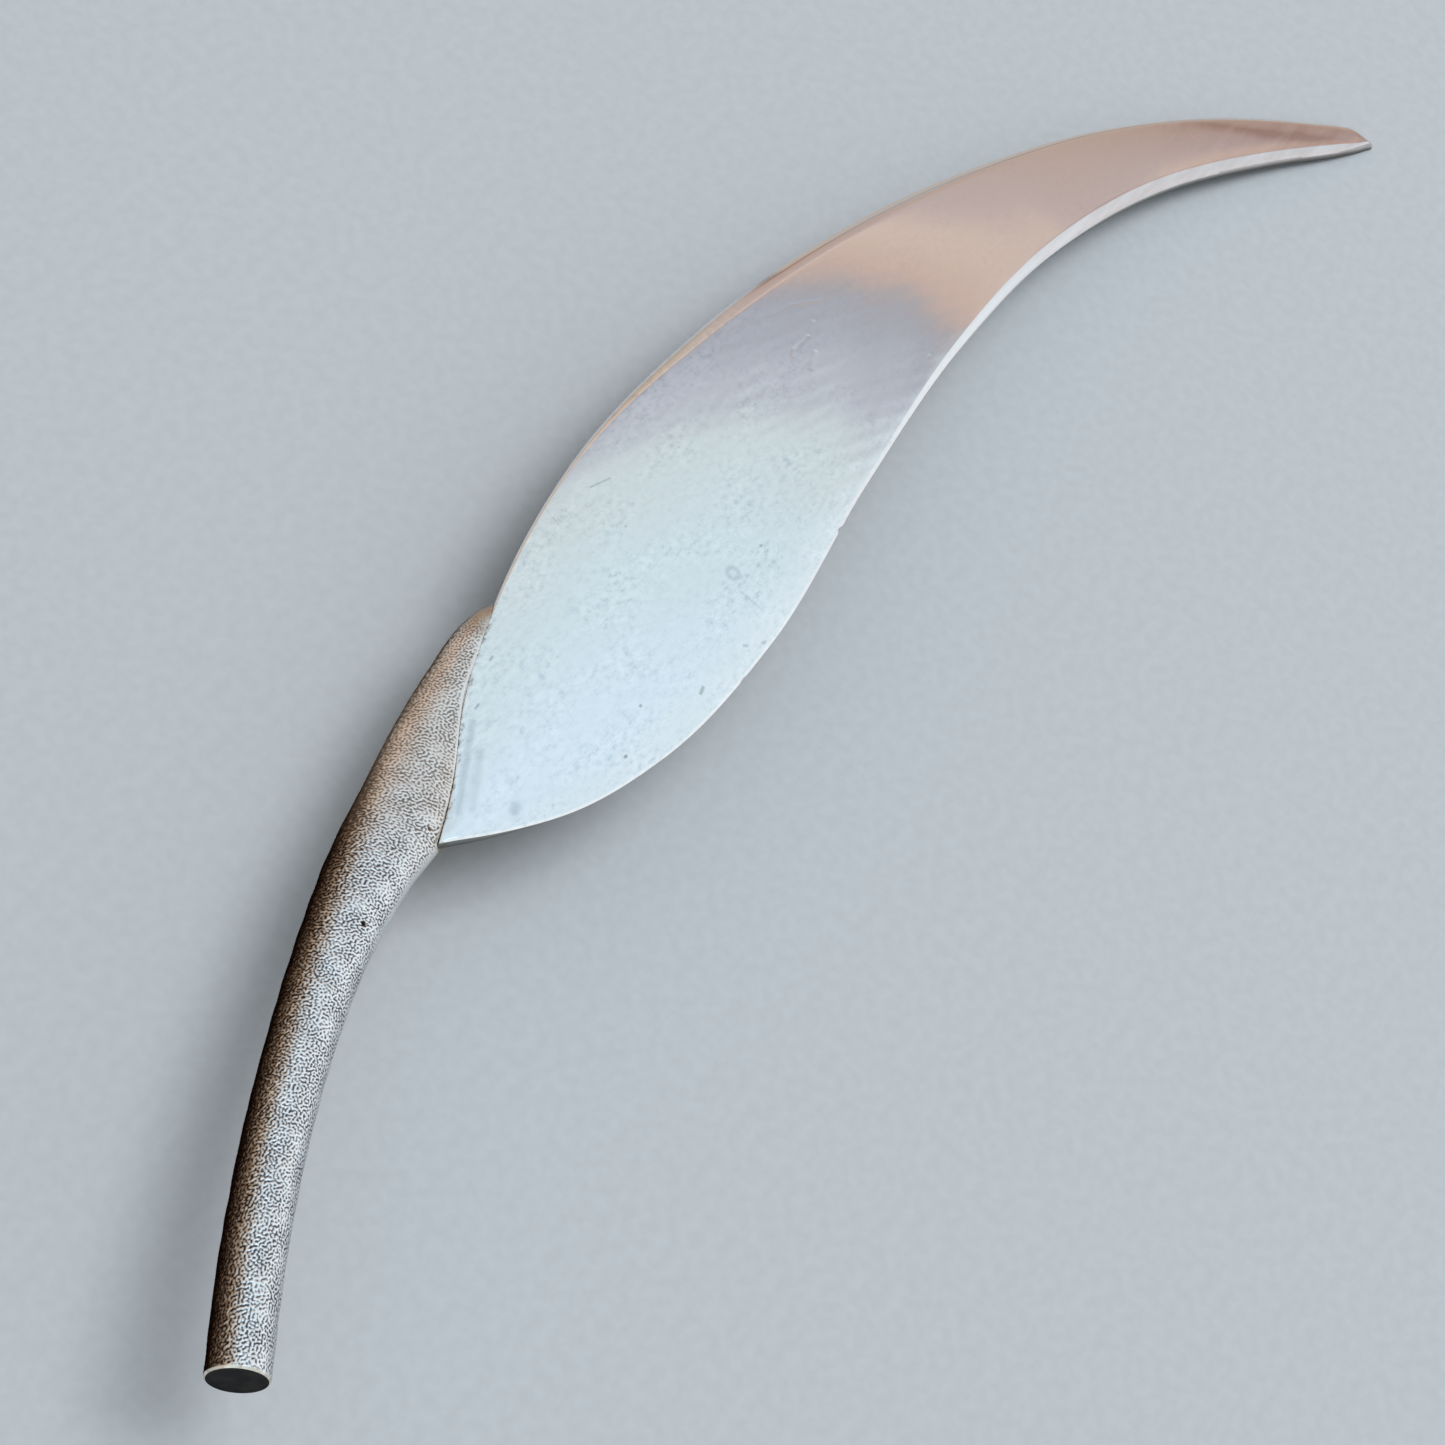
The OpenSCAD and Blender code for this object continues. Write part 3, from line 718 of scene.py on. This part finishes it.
def stemRings():
    unit = stem["endThickness"] / 2
    start, end, tip = stemRows[0, 0], stemRows[-1, 0], stem["roundedTip"]
    trial = np.linspace(start, tip, stem["trialRings"])
    length = np.hypot(np.diff(trial), np.diff(alongRows(stemRows, stemSide, trial))).sum()
    turn = np.linspace(0, math.pi / 2, stem["tipRings"])
    shaft = np.linspace(start, tip, int(length / stem["cell"]))
    x = np.concatenate([shaft, tip + (end - tip) * np.sin(turn[1:])])
    middle, ahead, sideways, up = stemFrame(x)
    angle = np.linspace(0, 2 * math.pi, stem["trialPoints"], endpoint=False)
    left, right, half = (alongRows(stemRows, column, x)[:, None] * unit
                         for column in (reachLeft, reachRight, halfHeight))
    reach = np.where(np.cos(angle)[None] > 0, left, right) * np.cos(angle)
    rise = half * np.sin(angle)
    rings = middle[:, None] + sideways[:, None] * reach[..., None] + up[:, None] * rise[..., None]
    rings = np.stack([evenlySpaced(ring, stem["sides"]) for ring in makeRoomForLeaf(rings)])
    fromMiddle = rings - middle[:, None]
    reach, rise = (fromMiddle * sideways[:, None]).sum(2), (fromMiddle * up[:, None]).sum(2)
    bearing = np.degrees(np.arctan2(rise / half, reach / np.where(reach > 0, left, right)))
    return x, middle, ahead, rings, bearing


def outwardOf(rings):
    around = np.roll(rings, -1, 1) - np.roll(rings, 1, 1)
    outward = np.cross(around, np.gradient(rings, axis=0))
    outward /= np.maximum(np.linalg.norm(outward, axis=2, keepdims=True), 1e-9)
    centred = rings - rings.mean(1, keepdims=True)
    return outward * np.sign((outward * centred).sum())


def stemLooks(x, rings, bearing):
    # how deep each point is in a wrinkle, a pit or the swell, and how dark it is there
    px, py, pz = rings[..., 0], rings[..., 1], rings[..., 2]
    fromSeam = np.where(px > leafRows[0, 0], -fromLeafLeft(px, py) - seamWidth(px), 9.0)
    leafBottom = leafAt(leafBack, px) - stem["lapGap"]
    besideLeaf = pz > leafBottom - 0.01
    shadedInSeam = besideLeaf & (fromSeam < 0.01) & (pz < leafBottom + stem["seamShadeTo"] * leaf["edge"])
    fromEnd = (x - x[0])[:, None]
    shape = px.shape

    # the dark patina covers the shaft's left flank and thins out over the head; on that flank it is also
    # painted shade that darkens the left side
    onHead = ease(*stem["headLooks"], px)
    waver = growWrinkles(shape, stem["waverWave"], seed=8) * stem["patinaAndShadeWaver"]
    full, gone = (shaft + (head - shaft) * onHead for shaft, head in (stem["patinaAndShadeFull"], stem["patinaAndShadeGone"]))
    patinaAndShade = 1 - ease(full, gone, bearing + waver)
    patinaAndShade = patinaAndShade * ease(*stem["patinaAndShadeBelow"], bearing) * fadeTo(stem["headPatinaAndShade"], onHead)
    patinaAndShade = np.maximum(patinaAndShade, stem["tipPatina"] * ease(*stem["tipPatinaFrom"], px))

    # wrinkles: wider where the patina and painted shade are, softer on the head, and gone at its tip and on
    # its lip by the seam
    swell = growWrinkles(shape, stem["swellWave"], seed=9)
    crowded = hump(bearing - stem["crowdedAt"], stem["crowdedHalf"]) * (1 - onHead)
    byPatina, bySwell, byCrowded, everywhere = stem["wider"]
    wider = byPatina * patinaAndShade + bySwell * swell + byCrowded * crowded + everywhere
    bottom, top = stem["wrinkleSides"]
    wrinkles = growWrinkles(shape, stem["wrinkleWave"], *stem["wrinkleGrowth"])
    crevice = 1 - ease(wider - bottom, wider + top, wrinkles)
    flank = inAndOut(stem["flankAlong"], px) * ease(*stem["flankRound"], np.abs(bearing))
    crevice = crevice * np.where(besideLeaf, ease(0.05, stem["seamLip"], fromSeam), 1.0)
    crevice = crevice * ease(0.0, 0.06, fromEnd) * fadeTo(stem["flankWrinkles"], flank)
    crevice = crevice * fadeTo(stem["tipWrinkles"], ease(*stem["tipSmoothFrom"], px))

    depth = stem["wrinkleDepth"] * crevice * fadeTo(stem["headDepth"], onHead)
    low = stem["swellDepth"] * (swell + 1) * ease(0.0, 0.6, fromEnd)
    depth = depth + low * fadeTo(stem["headSwell"], onHead)
    for along, place, radius in stem["pits"]:
        nearest = np.unravel_index(np.argmin(np.abs(px - along) + 0.05 * np.abs(bearing - place)), shape)
        pit = hump(np.linalg.norm(rings - rings[nearest], axis=2), radius)
        depth = depth + stem["pitDepth"] * pit
        pit = ease(*stem["pitDark"], pit)
        crevice, patinaAndShade = np.maximum(crevice, pit), np.maximum(patinaAndShade, stem["pitPatina"] * pit)
    depth = depth * np.where(besideLeaf, ease(0.0, stem["seamLip"], fromSeam), 1.0)
    # painted shade deep in the seam between the stem and the leaf, darkest where the seam gapes
    seamShadeLevel = stem["seamShade"] + (1 - stem["seamShade"]) * seamOpening(px)
    crevice, patinaAndShade = np.where(shadedInSeam, seamShadeLevel, crevice), np.where(shadedInSeam, seamShadeLevel, patinaAndShade)
    lip = np.where(besideLeaf, 1 - ease(*stem["lipPale"], fromSeam), 0.0)
    tarnish = np.where(shadedInSeam, 1 - seamShadeLevel, onHead * fadeTo(stem["lipTarnish"], lip))
    return depth, {"crevice": crevice, "patinaAndShade": patinaAndShade, "tarnish": tarnish}


def addStem():
    x, middle, ahead, rings, bearing = stemRings()
    depth, looks = stemLooks(x, rings, bearing)
    rings = rings - outwardOf(rings) * depth[..., None]

    # the free end: a filed rim, then a flat sawn face
    inner = 1 - 2 * stem["rim"] / stem["endThickness"]
    hollow = rings[0] - middle[0]
    caps = np.stack([middle[0] + hollow * share * inner - ahead[0] * (stem["rim"] - dip)
                     for share, dip in stem["face"]])
    rings = np.concatenate([caps, rings])
    looks = {name: np.concatenate([np.zeros(caps.shape[:2]), values]) for name, values in looks.items()}
    split = len(caps) + int(np.searchsorted(x, stem["headFrom"]))
    slots = [2] * (len(caps) - 1) + [1] + [0] * (split - len(caps))
    finishes = castSilver(), rubbedRim(), sawnEnd()
    for name, part, faceSlots, capSlots, materials in (
            ("castShaft", slice(0, split + 1), slots, (2, 0), finishes),
            ("castHead", slice(split, None), None, (0, 0), finishes[:1])):
        piece = meshFromRings(name, rings[part], faceSlots, capSlots)
        finishPiece(piece, materials, {look: values[part] for look, values in looks.items()}, 60, "stem")
    addTongue(finishes[0])


def addTongue(material):
    start = leafRows[0, 0] - tongue["beforeLeaf"]
    x = start + tongue["length"] * np.linspace(0, 1, tongue["sections"])
    run = x - start
    top = leafAt(leafBack, x) - stem["lapGap"]
    low = top - tongue["thickness"]
    right = leafAt(leafRight, x) + tongue["inset"] + tongue["draw"] * run**2
    left = np.maximum(right + tongue["narrowest"], leafAt(leafLeft, x) + tongue["intoHead"])
    # its end is rounded off in thickness
    intoEnd = np.clip((run - run[-1]) / tongue["roundedEnd"] + 1, 0, 1)
    fall = np.sqrt(1 - tongue["endThins"] * intoEnd**2)
    angle = np.linspace(0, 2 * math.pi, tongue["points"], endpoint=False)
    across, up = (np.sign(wave) * np.abs(wave) ** (2 / tongue["squareness"])
                  for wave in (np.cos(angle), np.sin(angle)))
    y = ((left + right) / 2)[:, None] + ((left - right) / 2)[:, None] * across
    z = ((top + low) / 2)[:, None] + ((top - low) / 2 * fall)[:, None] * up
    rings = np.stack([x[:, None] + 0 * y, y, z], 2)
    looks = {"crevice": 0 * y, "patinaAndShade": 0 * y + tongue["patinaAndShade"], "tarnish": 0 * y + 1}
    finishPiece(meshFromRings("castTongue", rings), [material], looks, 50, "stem")


def castSilver():
    # reticulated cast silver, oxidised and rubbed back: worn bright ridges over near-black wrinkles, a brown
    # patina on one flank that is also painted shade, painted shade deep in the seam, and a thin warm tarnish
    # on the head
    material, add, shader, inMm = newMaterial("castSilver")
    crevice, patinaAndShade, tarnish = (add("ShaderNodeAttribute", attribute_name=name).outputs["Fac"]
                                for name in ("crevice", "patinaAndShade", "tarnish"))
    # these ramps also darken the left flank and the seam as painted shade
    ridges = add("ShaderNodeValToRGB", {0: patinaAndShade},
                 stops=[(0, "#fffefc"), (0.2, "#dbd1c5"), (0.5, "#947e6b"), (0.8, "#675547"),
                        (1, "#3d2d24")])
    hollows = add("ShaderNodeValToRGB", {0: patinaAndShade},
                  stops=[(0, "#4f5560"), (0.12, "#36343a"), (0.4, "#221c19"), (1, "#261d19")])
    paler = add("ShaderNodeMath", {0: tarnish, 1: 0.5}, operation="MULTIPLY")
    hollows = add("ShaderNodeMix", {0: paler, 6: hollows, 7: linearColour("#b9aea4")}, data_type="RGBA")
    colour = add("ShaderNodeMix", {0: crevice, 6: ridges, 7: hollows}, data_type="RGBA")
    blotches = add("ShaderNodeTexNoise", {"Vector": inMm, "Scale": 0.8, "Detail": 3.0})
    warm = add("ShaderNodeValToRGB", {0: blotches}, stops=[(0.35, "#f6efea"), (0.65, "#f0e6de")])
    colour = add("ShaderNodeMix", {0: tarnish, 6: colour, 7: warm}, data_type="RGBA", blend_type="MULTIPLY")
    rough = add("ShaderNodeMapRange", {0: crevice, "To Min": 0.3, "To Max": 0.5})
    # oxide dulls the glancing light too
    glancing = add("ShaderNodeValToRGB", {0: patinaAndShade},
                   stops=[(0, "#dfe2e7"), (0.5, "#a4978c"), (1, "#665950")])
    setInputs(shader, {"Base Color": colour, "Roughness": rough, "Specular Tint": glancing, "Metallic": 1.0})
    return material


def rubbedRim():
    # the filed edge of the sawn end, rubbed bright
    material, add, shader, inMm = newMaterial("rubbedRim")
    wear = add("ShaderNodeTexNoise", {"Vector": inMm, "Scale": 4.0, "Detail": 3.0})
    tone = add("ShaderNodeValToRGB", {0: wear}, stops=[(0.35, "#c9beae"), (0.6, "#f1eadd")])
    setInputs(shader, {"Base Color": tone, "Roughness": 0.35, "Metallic": 1.0})
    return material


def sawnEnd():
    # the stem's sawn end under a dull, nearly black crust of oxide, with faint paler smudges
    material, add, shader, inMm = newMaterial("sawnEnd")
    smudge = add("ShaderNodeTexNoise", {"Vector": inMm, "Scale": 1.6, "Detail": 4.0})
    tone = add("ShaderNodeValToRGB", {0: smudge}, stops=[(0.45, "#0b0a09"), (0.7, "#211f1c")])
    setInputs(shader, {"Base Color": tone, "Roughness": 0.6, "Specular IOR Level": 0.1})
    return material


# brooch pin: a hinge, a wire with its point, and a hook that the wire lies in, under the leaf
pin = {
    # mm
    "hingeAt": (-13.4, 8.0), "catchAt": (3.6, 13.4), "seatGap": 0.06, "plate": 0.5,
    "wire": 0.9, "wireHeight": 1.15, "pastCatch": 2.4,
    "knuckle": 1.3, "hingeWidth": 4.6, "hingePlate": 3.4, "web": 1.5, "hingeReach": 2.2,
    "hole": 0.75, "sunk": 0.05, "mouth": 1.1, "catchWidth": 2.2, "catchPlate": 3.0, "neck": 1.2,
    "catchReach": 1.8, "neckInPlate": 0.1,
    # its point: mm back from the end and the wire's radius there
    "point": [(1.8, 0.45), (1.08, 0.324), (0.36, 0.162), (0.03, 0.06), (0, 0.02)],
    "edge": 0.1, "edgeSteps": 3, "edgeTurn": 25, "arcStep": 6, "wireStep": 10,  # rounding of edges; degrees
}


def arc(middle, radius, first, last):
    steps = max(2, round(abs(last - first) / pin["arcStep"]))
    return [(radius * math.cos(math.radians(a)), middle + radius * math.sin(math.radians(a)))
            for a in np.linspace(first, last, steps + 1)]


def addPrism(work, outline, width, alongWire):
    # a plate with the outline's shape; the outline lies along the wire or across it
    sides = []
    for shift in (-width / 2, width / 2):
        places = [(a, shift, z) if alongWire else (shift, a, z) for a, z in outline]
        sides.append([work.verts.new(place) for place in places])
    first, second = sides
    work.faces.new(first[::-1])
    work.faces.new(second)
    for k in range(len(outline)):
        after = (k + 1) % len(outline)
        work.faces.new((first[k], first[after], second[after], second[k]))


def pinPiece(name, work, shift, rounded):
    bmesh.ops.recalc_face_normals(work, faces=work.faces)
    if rounded:
        corners = [edge for edge in work.edges if edge.calc_face_angle(0) > math.radians(pin["edgeTurn"])]
        bmesh.ops.bevel(work, geom=corners, offset=pin["edge"], segments=pin["edgeSteps"], profile=0.5,
                        affect="EDGES", clamp_overlap=True)
    (hingeX, hingeY), (catchX, catchY) = pin["hingeAt"], pin["catchAt"]
    turn = Matrix.Rotation(math.atan2(catchY - hingeY, catchX - hingeX), 4, "Z")
    place = Matrix.Translation((hingeX + boxStep[0], hingeY + boxStep[1], 0))
    work.transform(Matrix.Scale(mm, 4) @ place @ turn @ Matrix.Translation((shift, 0, 0)))
    mesh = bpy.data.meshes.new(name)
    work.to_mesh(mesh)
    work.free()
    return addObject(name, mesh)


def addPin():
    silver = plainSilver()
    span = math.dist(pin["hingeAt"], pin["catchAt"])
    hingeSeat, catchSeat = (float(leafAt(leafBack, pin[at][0] + pin[reach])) - pin["seatGap"]
                            for at, reach in (("hingeAt", "hingeReach"), ("catchAt", "catchReach")))
    height, knuckle, web = pin["wireHeight"], pin["knuckle"], pin["web"] / 2
    foot, shoulder = math.degrees(math.asin(height / knuckle)), math.degrees(math.acos(web / knuckle))
    half = pin["hingePlate"] / 2
    outline = arc(height, knuckle, -foot, shoulder)
    outline += [(web, hingeSeat - pin["plate"]), (half, hingeSeat - pin["plate"]), (half, hingeSeat)]
    outline += [(-a, z) for a, z in outline[::-1]]
    hinge = bmesh.new()
    addPrism(hinge, outline, pin["hingeWidth"], True)

    middle = height - pin["wire"] / 2 + pin["sunk"] + pin["hole"]
    hook, neck, mouth = middle + pin["sunk"], pin["neck"] / 2, pin["mouth"]
    lipAngle, neckAngle = math.degrees(math.asin(mouth / hook)), math.degrees(math.acos(neck / hook))
    neckTop = catchSeat - pin["plate"] + pin["neckInPlate"]
    outline = arc(middle, hook, lipAngle, neckAngle) + [(neck, neckTop), (-neck, neckTop)]
    outline += arc(middle, hook, 180 - neckAngle, 360)
    outline += arc(middle, pin["hole"], 360, 90) + [(0, middle + mouth)]
    outline = [(a, max(z, 0.0)) for a, z in outline]
    catch = bmesh.new()
    addPrism(catch, outline, pin["catchWidth"], False)
    half = pin["catchPlate"] / 2
    low = catchSeat - pin["plate"]
    outline = [(-half, low), (half, low), (half, catchSeat), (-half, catchSeat)]
    addPrism(catch, outline, pin["catchPlate"], False)

    end = span + pin["pastCatch"]
    stations = [(0.0, pin["wire"] / 2)] + [(end - back, radius) for back, radius in pin["point"]]
    wire = bmesh.new()
    angles = np.radians(np.arange(0, 360, pin["wireStep"]))
    loops = [[wire.verts.new((x, radius * math.cos(a), height + radius * math.sin(a))) for a in angles]
             for x, radius in stations]
    for near, far in zip(loops, loops[1:]):
        for k in range(len(angles)):
            wire.faces.new((near[k - 1], near[k], far[k], far[k - 1]))
    wire.faces.new(loops[0])
    wire.faces.new(loops[-1][::-1])
    for name, work, shift, rounded in (("pinHinge", hinge, 0, True), ("pinCatch", catch, span, True),
                                       ("pinWire", wire, 0, False)):
        finishPiece(pinPiece(name, work, shift, rounded), [silver], {}, 35, "brooch_pin")


def plainSilver():
    # drawn silver wire and sheet, barrel-polished: plain, with fine scratches in its gloss
    material, add, shader, inMm = newMaterial("plainSilver")
    scratches = add("ShaderNodeTexNoise", {"Vector": inMm, "Scale": 3.0, "Detail": 5.0})
    tone = add("ShaderNodeValToRGB", {0: scratches}, stops=[(0.3, "#cfcdc9"), (0.7, "#e6e4e0")])
    rough = add("ShaderNodeMapRange", {0: scratches, "To Min": 0.18, "To Max": 0.34})
    setInputs(shader, {"Base Color": tone, "Roughness": rough, "Metallic": 1.0})
    return material


addCamera()
addSky()
addSoftBox()
addTable()
print("camera, light and table are set")
addLeaf()
addStem()
addPin()
bpy.context.scene.view_settings.view_transform = "Standard"
